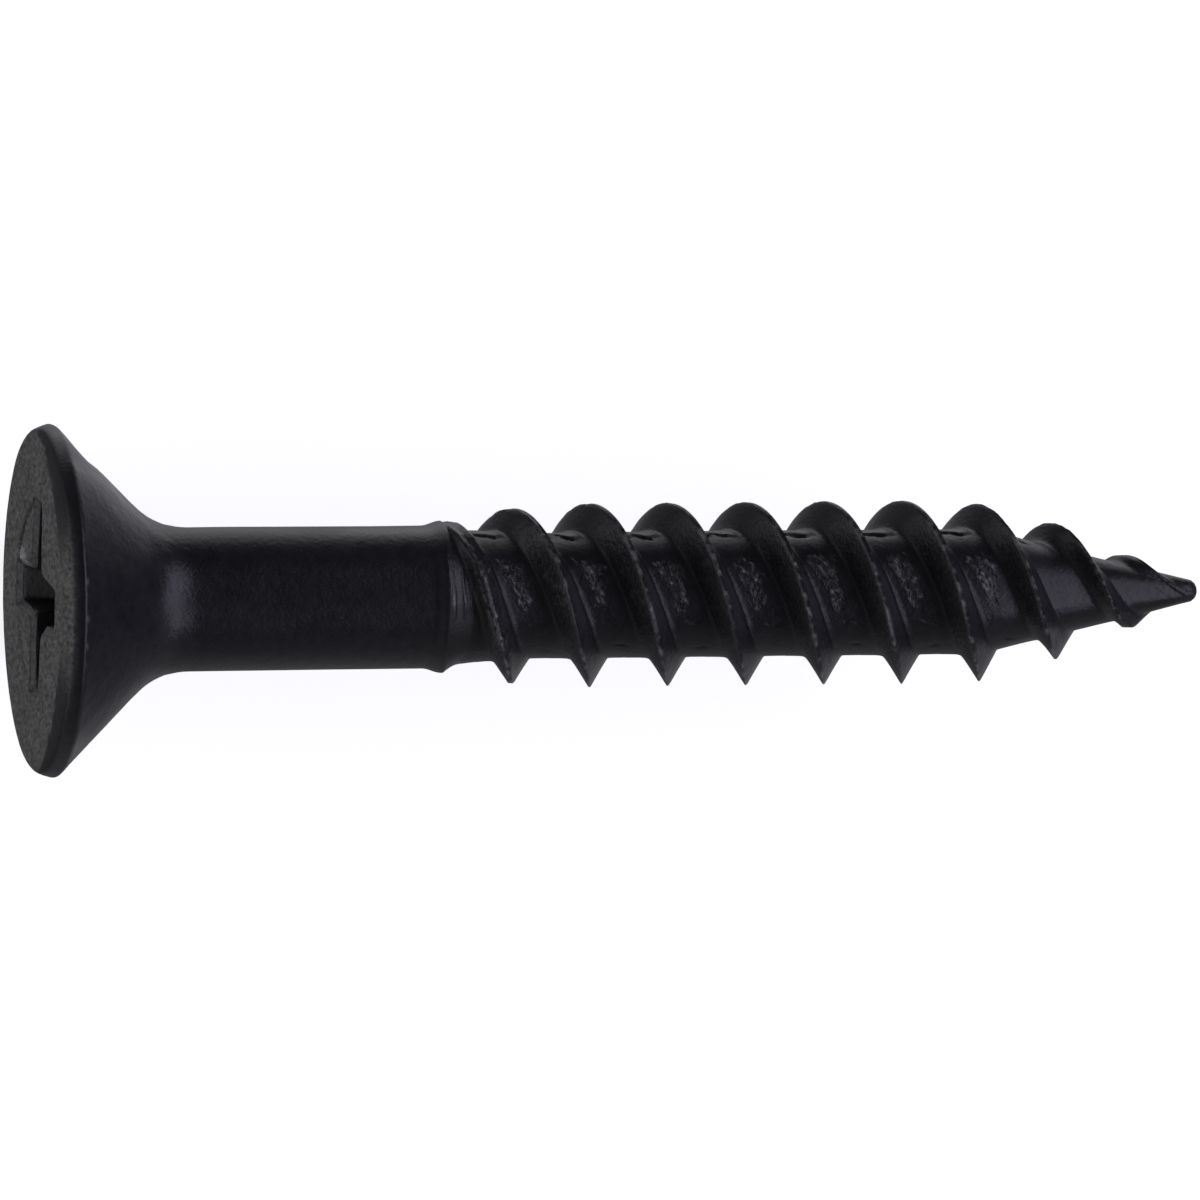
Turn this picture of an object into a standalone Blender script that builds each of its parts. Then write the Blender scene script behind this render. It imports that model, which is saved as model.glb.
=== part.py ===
"""Countersunk wood screw with a cross recess, a plain shank and a twin-start thread.

Run it with blender --background --python part.py, or from Blender's text editor.

The screw is one piece of cold-headed, thread-rolled steel wire, so it is one object.
It lies along X: the flat of the head faces -X, the point is at +X, and the origin is
on the axis, half way along. Lengths called "x" are measured from the flat of the head
towards the point until along() shifts them to the object's own frame.
"""

import math

import bmesh
import bpy

MM = 0.001
INCH = 25.4 * MM

# --- Driving dimensions: a No. 10 x 1 1/4 in countersunk wood screw --------------------
LENGTH = 31.4 * MM              # flat of the head to the end of the point
HEAD_R = 4.65 * MM              # half the head's diameter
CORE_R = 1.65 * MM              # half the root diameter of the thread
CREST_R = 2.435 * MM            # half the crest diameter of the thread
SHANK_R = 1.885 * MM            # half the plain shank's diameter
STARTS = 2                      # two threads run side by side
PITCH = INCH / 12.0             # crest to crest, 12 to the inch
LEAD = STARTS * PITCH           # how far one turn drives the screw in

# --- Head ------------------------------------------------------------------------------
FACE_EDGE_ROUND = 0.22 * MM     # rounding between the flat and the rim
RIM_END_X = 0.43 * MM           # where the 45 degree cone starts
RIM_CONE_CHAMFER = 0.10 * MM    # softened corner between the rim and the cone
CONE_ANGLE = 45                 # degrees, from the axis
NECK_FILLET_R = 2.10 * MM       # fillet between the cone and the shank

# --- Shank and collar ------------------------------------------------------------------
COLLAR_START_X = 10.30 * MM     # the shank begins to swell
COLLAR_PEAK_X = 10.87 * MM
COLLAR_R = 2.01 * MM
COLLAR_SWELL = 0.04 * MM        # how far it has swollen half way to the peak
COLLAR_FALL_X = 0.12 * MM       # a little past the peak the collar is this much thinner:
COLLAR_FALL_R = 0.08 * MM
COLLAR_END_X = 11.40 * MM       # foot of the collar's steep side
NECK_R = 1.772 * MM             # just past the collar
NECK_END_X = 13.00 * MM         # the neck has thinned down to the core
NECK_EASE = 1.5                 # power of the neck's curve

# --- Thread ----------------------------------------------------------------------------
TOOTH_HALF_W = 0.457 * MM       # half the tooth's width at the core, a 60 degree tooth
CREST_HALF_FLAT = 0.03 * MM     # half the small flat on top of the crest
RIDGE_SINK = 0.20 * MM          # how far the ridge's underside lies inside the core
CREST_AT_TOP_X = 0.05 * MM      # a crest crosses the +Y side here, plus any whole pitch
RIDGE_START_X = CREST_AT_TOP_X + 4 * PITCH
RIDGE_END_X = 30.35 * MM
RISE_START_X = 9.50 * MM        # the crest begins to rise, still inside the shank
RISE_END_X = 14.90 * MM         # the crest has its full height
FALL_START_X = 24.20 * MM       # the crest begins to fall towards the point
FALL_END_X = 30.50 * MM
TAPER_START_X = 24.90 * MM      # the core begins to taper
TAPER_BLEND = 1.20 * MM         # length over which the taper sets in
TIP_R = 0.25 * MM               # the blunt end of the point
TIP_ROUND = 0.10 * MM
TIP_SWEEP = 75                  # degrees of that rounding
TIP_END = 0.30 * MM             # the taper's first section, from the end of the point

# --- Cross recess ----------------------------------------------------------------------
RECESS_SPAN_R = 2.62 * MM       # centre to the end of a wing, at the flat of the head
RECESS_FLOOR_R = 0.95 * MM      # the same at the floor
RECESS_DEPTH = 2.35 * MM        # floor of the wings
RECESS_WING_W = 0.92 * MM       # a wing's width at the flat
RECESS_WING_FLOOR_W = 0.66 * MM
RECESS_CORE_R = 1.18 * MM       # conical middle, at the flat
RECESS_CORE_FLOOR_R = 0.30 * MM
RECESS_CORE_DEPTH = 2.95 * MM
RECESS_TURN = math.radians(10)
RECESS_OFF_Y = 0.09 * MM        # the punch sits a little off the axis
RECESS_OFF_Z = -0.14 * MM
CUT_OVER = 0.40 * MM            # how far a cutter stands proud of the flat

# --- Fineness --------------------------------------------------------------------------
BODY_SIDES = 56                 # sides of the turned body
TIP_ROWS = 3
TAPER_ROWS = 6
NECK_ROWS = 3
FILLET_ROWS = 6
EDGE_ROWS = 4
RIDGE_STEPS_PER_TURN = 30
CONE_SIDES = 24
MERGE = 0.000001
SHARP_ANGLE = math.radians(32)

STEEL_COLOUR = (0.022, 0.022, 0.025, 1.0)
STEEL_METALLIC = 0.35
STEEL_ROUGHNESS = 0.48


def along(x):
    """Distance from the flat of the head, as a place on the object's X axis."""
    return x - LENGTH / 2


def core_radius(x):
    """Radius of the thread's root: the neck, the parallel core, then the taper."""
    if x < NECK_END_X:
        thinning = (NECK_END_X - x) / (NECK_END_X - COLLAR_END_X)
        return CORE_R + (NECK_R - CORE_R) * min(thinning, 1.0) ** NECK_EASE
    slope = (CORE_R - TIP_R) / (LENGTH - TAPER_START_X - TAPER_BLEND / 2)
    past = max(x - TAPER_START_X, 0.0)
    if past < TAPER_BLEND:
        return CORE_R - slope * past * past / (2 * TAPER_BLEND)
    return CORE_R - slope * (past - TAPER_BLEND / 2)


def crest_height(x):
    """Height of the thread over its root: it rises, stays, and falls towards the point."""
    rise = max(RISE_END_X - x, 0.0) / (RISE_END_X - RISE_START_X)
    fall = max(x - FALL_START_X, 0.0) / (FALL_END_X - FALL_START_X)
    fade = max(1.0 - rise ** 2, 0.0) * max(1.0 - fall ** 3, 0.0)
    return (CREST_R - CORE_R) * fade


def arc(centre, radius, start_deg, end_deg, steps):
    """Points (x, r) of a round, from one angle to another about its centre."""
    points = []
    for i in range(steps + 1):
        angle = math.radians(start_deg + (end_deg - start_deg) * i / steps)
        points.append((centre[0] + radius * math.cos(angle), centre[1] + radius * math.sin(angle)))
    return points


def steps_between(first, last, count):
    """Evenly spaced values from first to last, both included."""
    return [first + (last - first) * i / count for i in range(count + 1)]


def point_profile():
    """The rounded end and the tapered core, from the point towards the head."""
    end = arc((LENGTH - TIP_ROUND, TIP_R - TIP_ROUND), TIP_ROUND, 0, TIP_SWEEP, TIP_ROWS)
    sections = steps_between(LENGTH - TIP_END, TAPER_START_X, TAPER_ROWS)
    return [(LENGTH, 0.0)] + end + [(x, core_radius(x)) for x in sections]


def collar_profile():
    """The neck past the collar, and the collar that ends the plain shank."""
    neck = [(x, core_radius(x)) for x in steps_between(NECK_END_X, COLLAR_END_X, NECK_ROWS)]
    return neck + [
        (COLLAR_PEAK_X + COLLAR_FALL_X, COLLAR_R - COLLAR_FALL_R),
        (COLLAR_PEAK_X, COLLAR_R),
        ((COLLAR_START_X + COLLAR_PEAK_X) / 2, SHANK_R + COLLAR_SWELL),
        (COLLAR_START_X, SHANK_R),
    ]


def head_profile():
    """The fillet, the cone, the rim and the flat of the head."""
    cone_foot_x = RIM_END_X + (HEAD_R - SHANK_R) / math.tan(math.radians(CONE_ANGLE))
    reach = NECK_FILLET_R * math.tan(math.radians(CONE_ANGLE / 2))
    fillet_centre = (cone_foot_x + reach, SHANK_R + NECK_FILLET_R)
    fillet = arc(fillet_centre, NECK_FILLET_R, 270, 270 - CONE_ANGLE, FILLET_ROWS)
    rim = [
        (RIM_END_X + RIM_CONE_CHAMFER, HEAD_R - RIM_CONE_CHAMFER),
        (RIM_END_X - RIM_CONE_CHAMFER / 2, HEAD_R),
    ]
    edge_centre = (FACE_EDGE_ROUND, HEAD_R - FACE_EDGE_ROUND)
    edge = arc(edge_centre, FACE_EDGE_ROUND, 90, 180, EDGE_ROWS)
    return fillet + rim + edge + [(0.0, 0.0)]


def new_object(name, mesh, collection):
    made = bpy.data.objects.new(name, mesh)
    collection.objects.link(made)
    return made


def turned_body(collection):
    """The whole screw without its thread and recess, turned round X."""
    profile = point_profile() + collar_profile() + head_profile()
    mesh = bpy.data.meshes.new("body_profile")
    verts = [(along(x), r, 0.0) for x, r in profile]
    edges = [(i, i + 1) for i in range(len(verts) - 1)]
    mesh.from_pydata(verts, edges, [])
    body = new_object("screw", mesh, collection)
    turn = body.modifiers.new("turn", "SCREW")
    turn.axis = "X"
    turn.steps = BODY_SIDES
    turn.render_steps = BODY_SIDES
    turn.use_merge_vertices = True
    turn.merge_threshold = MERGE
    return body


def ridge_section():
    """Closed outline of one tooth, as (offset along X, radius), before it is shaped."""
    slope = (TOOTH_HALF_W - CREST_HALF_FLAT) / (CREST_R - CORE_R)
    foot = TOOTH_HALF_W + RIDGE_SINK * slope
    middle = (TOOTH_HALF_W + CREST_HALF_FLAT) / 2
    half_height = (CORE_R + CREST_R) / 2
    return [
        (foot, CORE_R - RIDGE_SINK),
        (middle, half_height),
        (CREST_HALF_FLAT, CREST_R),
        (-CREST_HALF_FLAT, CREST_R),
        (-middle, half_height),
        (-foot, CORE_R - RIDGE_SINK),
    ]


def helix_mesh(name):
    """One plain thread of constant height, wound round X and closed at both ends."""
    turns = (RIDGE_END_X - RIDGE_START_X) / LEAD
    section = ridge_section()
    mesh = bpy.data.meshes.new(name)
    verts = [(along(RIDGE_START_X + dx), r, 0.0) for dx, r in section]
    count = len(verts)
    mesh.from_pydata(verts, [(i, (i + 1) % count) for i in range(count)], [])
    wound = bpy.data.objects.new(name, mesh)
    bpy.context.scene.collection.objects.link(wound)
    wind = wound.modifiers.new("wind", "SCREW")
    wind.axis = "X"
    wind.angle = 2 * math.pi * turns
    wind.screw_offset = LEAD * turns
    wind.steps = round(RIDGE_STEPS_PER_TURN * turns)
    wind.render_steps = wind.steps
    wind.use_merge_vertices = False
    bpy.context.view_layer.update()
    made = bpy.data.meshes.new_from_object(wound.evaluated_get(bpy.context.evaluated_depsgraph_get()))
    bpy.data.objects.remove(wound)
    return made


def shape_ridge(mesh):
    """Closes the thread's ends and gives it the rise and fall of the real one."""
    bm = bmesh.new()
    bm.from_mesh(mesh)
    bmesh.ops.holes_fill(bm, edges=[e for e in bm.edges if e.is_boundary], sides=0)
    full_height = CREST_R - CORE_R
    for vert in bm.verts:
        x = vert.co.x + LENGTH / 2
        radius = math.hypot(vert.co.y, vert.co.z)
        share = (radius - CORE_R) / full_height
        height = crest_height(x) if share > 0 else full_height
        wanted = core_radius(x) + share * height
        if share < 0:
            wanted = core_radius(x) * (1 + share * full_height / CORE_R)
        vert.co.y *= wanted / radius
        vert.co.z *= wanted / radius
    bmesh.ops.recalc_face_normals(bm, faces=bm.faces)
    bm.to_mesh(mesh)
    bm.free()


def thread_ridges(collection):
    """The two threads: the same ridge, half a turn apart."""
    mesh = helix_mesh("thread_ridge")
    shape_ridge(mesh)
    ridges = []
    for i in range(STARTS):
        ridge = new_object(f"thread_ridge_{i + 1}", mesh, collection)
        ridge.rotation_euler.x = i * 2 * math.pi / STARTS
        ridges.append(ridge)
    return ridges


def wing_cutter(collection, index):
    """A tapered blade that cuts two opposite wings of the recess."""
    mesh = bpy.data.meshes.new("recess_wing")
    bm = bmesh.new()
    bmesh.ops.create_cube(bm, size=2.0)
    total = RECESS_DEPTH + CUT_OVER
    spread = (RECESS_SPAN_R - RECESS_FLOOR_R) / RECESS_DEPTH
    thicken = (RECESS_WING_W - RECESS_WING_FLOOR_W) / RECESS_DEPTH
    for vert in bm.verts:
        deep = vert.co.x > 0
        vert.co.x = RECESS_DEPTH if deep else -CUT_OVER
        span = RECESS_FLOOR_R if deep else RECESS_FLOOR_R + spread * total
        width = RECESS_WING_FLOOR_W if deep else RECESS_WING_FLOOR_W + thicken * total
        vert.co.y *= span
        vert.co.z *= width / 2
    bm.to_mesh(mesh)
    bm.free()
    cutter = new_object(f"recess_wing_{index + 1}", mesh, collection)
    cutter.location = (along(0.0), RECESS_OFF_Y, RECESS_OFF_Z)
    cutter.rotation_euler.x = RECESS_TURN + index * math.pi / 2
    return cutter


def recess_core_cutter(collection):
    """The conical middle of the recess."""
    mesh = bpy.data.meshes.new("recess_core")
    bm = bmesh.new()
    spread = (RECESS_CORE_R - RECESS_CORE_FLOOR_R) / RECESS_CORE_DEPTH
    total = RECESS_CORE_DEPTH + CUT_OVER
    wide = RECESS_CORE_FLOOR_R + spread * total
    bmesh.ops.create_cone(
        bm, cap_ends=True, segments=CONE_SIDES, radius1=wide, radius2=RECESS_CORE_FLOOR_R, depth=total
    )
    bm.to_mesh(mesh)
    bm.free()
    cutter = new_object("recess_core", mesh, collection)
    cutter.location = (along(total / 2 - CUT_OVER), RECESS_OFF_Y, RECESS_OFF_Z)
    cutter.rotation_euler.y = math.pi / 2
    return cutter


def hide_cutter(cutter):
    cutter.hide_render = True
    cutter.display_type = "WIRE"


def combine(body, tool, operation):
    """Joins or cuts with an exact Boolean, which stays on the body as a modifier."""
    step = body.modifiers.new(f"{operation.lower()}_{tool.name}", "BOOLEAN")
    step.object = tool
    step.operation = operation
    step.solver = "EXACT"
    hide_cutter(tool)


def black_steel():
    """Blackened steel: dark, half matt."""
    material = bpy.data.materials.new("blackened_steel")
    material.use_nodes = True
    shader = material.node_tree.nodes["Principled BSDF"]
    shader.inputs["Base Color"].default_value = STEEL_COLOUR
    shader.inputs["Metallic"].default_value = STEEL_METALLIC
    shader.inputs["Roughness"].default_value = STEEL_ROUGHNESS
    return material


def bake(body, material):
    """Puts the finished shape into the object's own mesh and shades its rounds smooth."""
    bpy.context.view_layer.update()
    finished = body.evaluated_get(bpy.context.evaluated_depsgraph_get())
    mesh = bpy.data.meshes.new_from_object(finished)
    mesh.name = "screw"
    body.modifiers.clear()
    body.data = mesh
    mesh.materials.clear()
    mesh.materials.append(material)
    mesh.shade_smooth()
    mesh.set_sharp_from_angle(angle=SHARP_ANGLE)


def clear_scene():
    for old in list(bpy.data.objects):
        bpy.data.objects.remove(old, do_unlink=True)


def new_collection(name):
    made = bpy.data.collections.new(name)
    bpy.context.scene.collection.children.link(made)
    return made


def main():
    clear_scene()
    parts = new_collection("wood_screw")
    tools = new_collection("cutters")
    body = turned_body(parts)
    for ridge in thread_ridges(tools):
        combine(body, ridge, "UNION")
    for index in range(2):
        combine(body, wing_cutter(tools, index), "DIFFERENCE")
    combine(body, recess_core_cutter(tools), "DIFFERENCE")
    bake(body, black_steel())


main()
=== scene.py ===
"""The looks of the wood screw: one finely modelled piece that stands for the CAD node.

The screw lies along X with its head towards -X. Lengths called "x" are measured in
millimetres from the flat of the head towards the point, as in the CAD; "theta" is the angle
round the axis from +Y towards +Z. The camera looks down from +Z, from a little towards the
head, so "near" is the +Z side and "far" the -Z side.
"""
import math
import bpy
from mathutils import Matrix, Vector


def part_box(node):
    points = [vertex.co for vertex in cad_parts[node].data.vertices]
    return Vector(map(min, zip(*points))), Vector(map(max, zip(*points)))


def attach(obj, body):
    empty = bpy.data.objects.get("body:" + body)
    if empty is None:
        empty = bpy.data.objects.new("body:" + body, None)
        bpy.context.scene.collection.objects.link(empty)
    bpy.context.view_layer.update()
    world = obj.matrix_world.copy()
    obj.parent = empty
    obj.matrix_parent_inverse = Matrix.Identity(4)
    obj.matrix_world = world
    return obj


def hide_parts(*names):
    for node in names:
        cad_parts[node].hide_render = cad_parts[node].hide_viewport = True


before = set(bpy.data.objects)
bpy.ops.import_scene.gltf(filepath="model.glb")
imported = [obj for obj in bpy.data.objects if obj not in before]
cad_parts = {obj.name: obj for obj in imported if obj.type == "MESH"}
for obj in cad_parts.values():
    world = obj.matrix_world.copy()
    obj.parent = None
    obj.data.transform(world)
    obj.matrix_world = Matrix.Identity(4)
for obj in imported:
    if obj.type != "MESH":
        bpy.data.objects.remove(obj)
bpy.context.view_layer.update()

from types import SimpleNamespace

import bpy
import numpy as np
from mathutils import Matrix, Vector

MM = 0.001
FACE_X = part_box("screw")[0].x                    # the flat of the head, in metres
LENGTH = (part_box("screw")[1].x - FACE_X) / MM    # in millimetres, as all sizes but the studio's
HEAD_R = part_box("screw")[1].y / MM

# --- Sizes that the frame's box doesn't give, in millimetres -------------------------------
CORE_R = 1.65
CREST_R = 2.435
SHANK_R = 1.885
SHANK_SWELL = 0.012           # the shank is this much thicker by the head
STARTS = 2
PITCH = 25.4 / 12
LEAD = STARTS * PITCH
CREST_AT_TOP_X = 0.05         # a crest crosses +Y here, and every pitch from here

FACE_FLAT_R = 3.75            # the flat of the head is level out to here
RIM_EASE = 0.30               # how far down the rim the face's unevenness dies out
CONE_X = 5.08 - HEAD_R        # where the cone would meet the rim without its rounding
CONE_START_X = 0.66           # the cone's first row past that rounding
CONE_ANGLE = math.radians(45)
CONE_DENT = 0.065             # the +Y side of the cone has a flat as deep as this
CONE_INSET = 0.012            # the cone lies this far inside the clean one
HEAD_WAVE, HEAD_PITTING = 0.010, 0.005
RIM_EDGE_X = 0.47             # the edge between the rim and the cone, with a painted highlight along its near side
FILLET_R = 2.10

COLLAR_START_X, COLLAR_PEAK_X, COLLAR_END_X = 10.30, 10.87, 11.40
COLLAR_R = 2.010
NECK_R = 1.772
NECK_END_X = 13.00
COLLAR_LEAN = 0.18            # how much sooner the collar ends on the near side
START_SHIFT = 0.20            # how far the first ridge is pushed along by the collar

TOOTH_HALF_W = 0.457
CREST_HALF_FLAT = 0.012
FOOT_ROUND = 0.08             # fillet at the foot of a flank that faces the head
POINT_FOOT_ROUND = 0.032      # and of one that faces the point
CREST_GROOVE = 0.03           # the first ridge is hollow along its crest
RISE_START_X, RISE_END_X = 9.50, 14.90
FALL_START_X, FALL_END_X = 24.20, 30.30
BEND_START_X, BEND_END_X = 26.50, 29.50
BEND_Y = -0.035               # the point leans this much to one side
TAPER_START_X, TAPER_BLEND = 24.90, 1.20
TIP_R = 0.25

RECESS_SPAN_R, RECESS_FLOOR_R, RECESS_DEPTH = 2.43, 0.95, 2.35
RECESS_END_W, RECESS_FLOOR_W = 0.90, 0.60           # width of a wing at its end
RECESS_CORNER, RECESS_FLOOR_CORNER = 0.68, 0.40     # inner corner of two wings
RECESS_LIP = 0.19             # its pressed edge
RECESS_PIT_DEPTH = 2.95       # the point of the pit that ends the recess
RECESS_TURN = math.radians(10)
RECESS_Y, RECESS_Z = 0.09, -0.14
CORNER_SHARES = (0.90, 1.0, 0.80, 1.0)              # the four inner corners were hit unevenly

# --- Fineness of the mesh ------------------------------------------------------------------
COLUMNS = 196                 # points round the axis
FRONT_EXTRA, FRONT_WIDTH = 1.7, math.radians(34)    # columns are closer on the near side
FINE_ROWS_X = 10.78           # rows are closer from here to where they follow the thread
HELIX_START_X = 11.36         # rows run round the shank before here, along the thread after
HELIX_END_X = LENGTH - 0.32
FLANK_OFFSETS = (0.0, 0.03, 0.08, 0.14, 0.21, 0.28, 0.35, 0.41, 0.455, 0.50)
ROOT_ROWS = 9


def column_angles():
    """The angle of each column, from the recess's +Y wing round; they are closer near +Z."""
    fine = np.linspace(0, 2 * np.pi, 7201)
    lean = (fine + RECESS_TURN - np.pi / 2) / FRONT_WIDTH
    density = 1 + FRONT_EXTRA * np.exp(-lean * lean)
    run = np.concatenate([[0], np.cumsum((density[1:] + density[:-1]) / 2)])
    return RECESS_TURN + np.interp(np.arange(COLUMNS) / COLUMNS, run / run[-1], fine)


THETA = column_angles()


# === Noise =================================================================================

def lattice(ix, iy, iz, seed):
    """A repeatable value from -1 to 1 for each point of a whole-number grid."""
    mixed = (ix * 73856093) ^ (iy * 19349663) ^ (iz * 83492791) ^ (seed * 40503)
    mixed = ((mixed ^ (mixed >> 13)) * 1274126177) & 0x7FFFFFFF
    mixed = (mixed ^ (mixed >> 15)) & 0xFFFFFF
    return mixed / 0x7FFFFF - 1.0


def noise(points, size, seed):
    """Smooth noise from -1 to 1 at points in millimetres, with features of about that size."""
    scaled = points / size
    cell = np.floor(scaled).astype(np.int64)
    part = scaled - cell
    part = part * part * (3 - 2 * part)
    cell_x, cell_y, cell_z = cell[..., 0], cell[..., 1], cell[..., 2]
    total = 0.0
    for dx in (0, 1):
        for dy in (0, 1):
            for dz in (0, 1):
                weight = np.abs(1 - dx - part[..., 0]) * np.abs(1 - dy - part[..., 1])
                weight = weight * np.abs(1 - dz - part[..., 2])
                total += weight * lattice(cell_x + dx, cell_y + dy, cell_z + dz, seed)
    return total


def smoothstep(low, high, value):
    """0 up to low and 1 from high on, or the other way round where low is the larger."""
    share = np.clip((value - low) / (high - low), 0.0, 1.0)
    return share * share * (3 - 2 * share)


def window(value, low, high, soft):
    """1 between two limits, falling smoothly to 0 outside them."""
    return smoothstep(low - soft, low, value) * (1 - smoothstep(high, high + soft, value))


def hump(value, width):
    """1 at 0, falling to almost nothing at twice the width."""
    return np.exp(-(value / width) ** 2)


# === Sizes along the screw =================================================================

def core_radius(x):
    """Radius of the thread's root: neck, parallel core, taper."""
    thinning = np.clip((NECK_END_X - x) / (NECK_END_X - COLLAR_END_X), 0.0, 1.0)
    slope = (CORE_R - TIP_R) / (LENGTH - TAPER_START_X - TAPER_BLEND / 2)
    past = np.maximum(x - TAPER_START_X, 0.0)
    drop = np.where(past < TAPER_BLEND, past * past / (2 * TAPER_BLEND), past - TAPER_BLEND / 2)
    return CORE_R + (NECK_R - CORE_R) * thinning ** 1.5 - slope * drop


def crest_radius(x, theta):
    """Radius of a ridge's crest; one of the two starts half a turn late."""
    rise = np.maximum(RISE_END_X - x, 0.0) / (RISE_END_X - RISE_START_X)
    fall = np.maximum(x - FALL_START_X, 0.0) / (FALL_END_X - FALL_START_X)
    fade = np.maximum(1.0 - rise * rise, 0.0) * np.maximum(1.0 - fall ** 3, 0.0)
    late = np.maximum(-np.cos(theta), 0.0) * (1 - smoothstep(11.0, 12.3, x))
    parallel = np.maximum(x, NECK_END_X)
    return core_radius(parallel) + (CREST_R - CORE_R) * fade * (1 - 0.95 * late)


def start_shift(even_x):
    """The first ridge sets off late and catches up over its first half turn."""
    grows = smoothstep(9.7, 10.6, even_x)
    return START_SHIFT * grows * (1 - smoothstep(10.5, 12.8, even_x))


def crest_offset(even_x, theta):
    """Distance along X from the nearest crest line."""
    turns = (even_x - CREST_AT_TOP_X - LEAD * theta / (2 * np.pi)) / PITCH
    return (turns - np.round(turns)) * PITCH


def threaded_radius(x, offset, theta):
    """Radius of the thread's surface, crest and root."""
    degrees = np.degrees(theta)
    early = (1 - smoothstep(11.7, 13.4, x)) ** 2
    late = smoothstep(28.6, 29.6, x)
    offset = offset + 0.05 * late
    # the crests are flatter at both ends of the thread, and rolled over between +Y and +Z
    rolled = window(degrees % 360, 6, 62, 12) * smoothstep(0.0, 0.02, offset)
    flat = CREST_HALF_FLAT + 0.14 * early + 0.12 * late
    flat += 0.06 * rolled * smoothstep(25.0, 24.0, x) + 0.03 * (1 - smoothstep(13.0, 15.5, x))
    half_w = TOOTH_HALF_W - 0.07 * smoothstep(26.0, 27.6, x)
    inside = half_w - np.abs(offset)
    foot = np.where(offset > 0, POINT_FOOT_ROUND, FOOT_ROUND)
    inside = (inside + np.sqrt(inside * inside + foot * foot)) / 2
    share = np.minimum(inside / (half_w - flat), 1.0)
    groove = CREST_GROOVE * early * np.maximum(1 - (offset / flat) ** 2, 0.0)
    core = core_radius(x)
    height = np.maximum(crest_radius(x - offset, theta) - core, 0.0)
    # one crest on the +Y side is worn
    worn = window(x, 25.0, 25.9, 0.5) * window((degrees + 90) % 360, 60, 120, 30)
    height = height * (1 - 0.09 * worn)
    return core + (height * share - groove) * smoothstep(10.72, 10.92, x)


def shank_radius(x, theta):
    """Radius of the plain shank, with the collar that ends it and its slope down to the neck."""
    near = window(np.degrees(theta) % 360, 64, 132, 42)
    peak_x = COLLAR_PEAK_X - COLLAR_LEAN * near
    plain = SHANK_R + SHANK_SWELL * (1 - smoothstep(4.0, 10.0, x))
    swell = plain + (COLLAR_R - SHANK_R) * smoothstep(COLLAR_START_X, peak_x, x) ** 1.3
    left = np.clip((COLLAR_END_X - x) / (COLLAR_END_X - peak_x), 0.0, 1.0)
    slope = NECK_R + (COLLAR_R - NECK_R) * left ** (1.9 - 0.8 * near)
    return np.where(x < peak_x, swell, slope)


def body_radius(x, offset, theta):
    """The larger of shank and thread."""
    shank = np.where(x < COLLAR_END_X, shank_radius(x, theta), 0.0)
    return np.maximum(threaded_radius(x, offset, theta), shank)


# === Marks of making =======================================================================

FOLD_HEIGHT, TORN_SINK = 0.017, 0.012
LAP_HEIGHT, CRACK_DEPTH, SHORT_CRACK_DEPTH = 0.045, 0.055, 0.032
SEAM_HEIGHT = 0.013
NICK_DEPTH = 0.012
SCALE_HEIGHT = 0.009
FIRST_RIDGE_ROUGHNESS = 0.010
SCRATCH_DEPTH = 0.014
SHANK_WAVE = 0.005

PATCH_R = 2.42                # the face is sunk out to here on the recess's far side
PLUS_Y_SINK, MINUS_Y_SINK = 0.045, 0.016
PLUS_Y_CRACK, MINUS_Y_CRACK = 0.070, 0.030
FACE_GRAIN = 0.006
ROLL_DEPTH = 0.035            # how far the face's rolled edge falls away
LIP_ROUGHNESS = 0.008


def torn_patch(spot, centre):
    """Where the metal is torn in a root gap: a ragged patch that leans with the thread."""
    from_centre = spot.angle - centre
    turned = smoothstep(-22, 20, from_centre)
    low = 0.64 + 0.12 * turned + 0.08 * spot.ragged
    high = 1.38 - 0.30 * turned + 0.14 * spot.ragged
    across = smoothstep(low - 0.04, low + 0.12, spot.after)
    across = across * (1 - smoothstep(high - 0.14, high + 0.10, spot.after))
    return across * window(from_centre + 7 * spot.ragged, -19, 19, 9)


def thread_spot(x, even_x, offset, theta):
    """What the marks depend on, at points of the shank or thread."""
    angle = (np.degrees(theta) + 90) % 360 - 90
    theta = np.radians(angle)
    after = np.where(offset < 0, offset + PITCH, offset)
    across = even_x - CREST_AT_TOP_X - LEAD * theta / (2 * np.pi)
    gap = np.round((across - after) / PITCH) * 7.3
    wander = noise(np.stack([gap, theta * 2.2, after * 1.2], -1), 0.35, 3)
    return SimpleNamespace(
        x=x, theta=theta, angle=angle,
        offset=offset,                               # distance past the nearest crest
        after=after,                                 # distance past the crest before
        wander=wander,
        ragged=wander + 0.7 * noise(np.stack([gap, theta * 1.7, after], -1), 0.12, 4),
        own=noise(np.stack([gap, gap, gap], -1), 1.7, 5),      # one value for each root gap
        space=np.stack([x, theta * 1.8, np.zeros_like(x)], -1),
        skewed=np.stack([across * 2.9, theta * CORE_R, gap * 0.1], -1),
        full=smoothstep(11.3, 11.9, x) * (1 - smoothstep(26.0, 27.0, x)))


def torn_marks(spot):
    """Torn and folded metal in the root, on the near side and more faintly on the far side, with painted
    highlights on the tops of the folds and painted shade in their hollows.
    """
    torn = torn_patch(spot, 80 + 3 * spot.own)
    torn = np.maximum(torn, 0.8 * torn_patch(spot, -55 + 6 * spot.own)) * spot.full
    torn = smoothstep(0.25, 0.75, torn)
    folds = 1 - 2.4 * np.abs(noise(spot.skewed, 0.24, 11))
    folds = folds + 0.8 * noise(spot.skewed, 0.11, 12)
    out = FOLD_HEIGHT * torn * folds - TORN_SINK * torn
    # light steel on the fold tops is a painted highlight; near-black in the hollows is painted shade
    bare = 0.45 * torn * smoothstep(0.65, 1.35, folds)
    soot = 0.5 * torn * smoothstep(0.1, -0.6, folds)
    return out, torn, bare, soot


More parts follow.
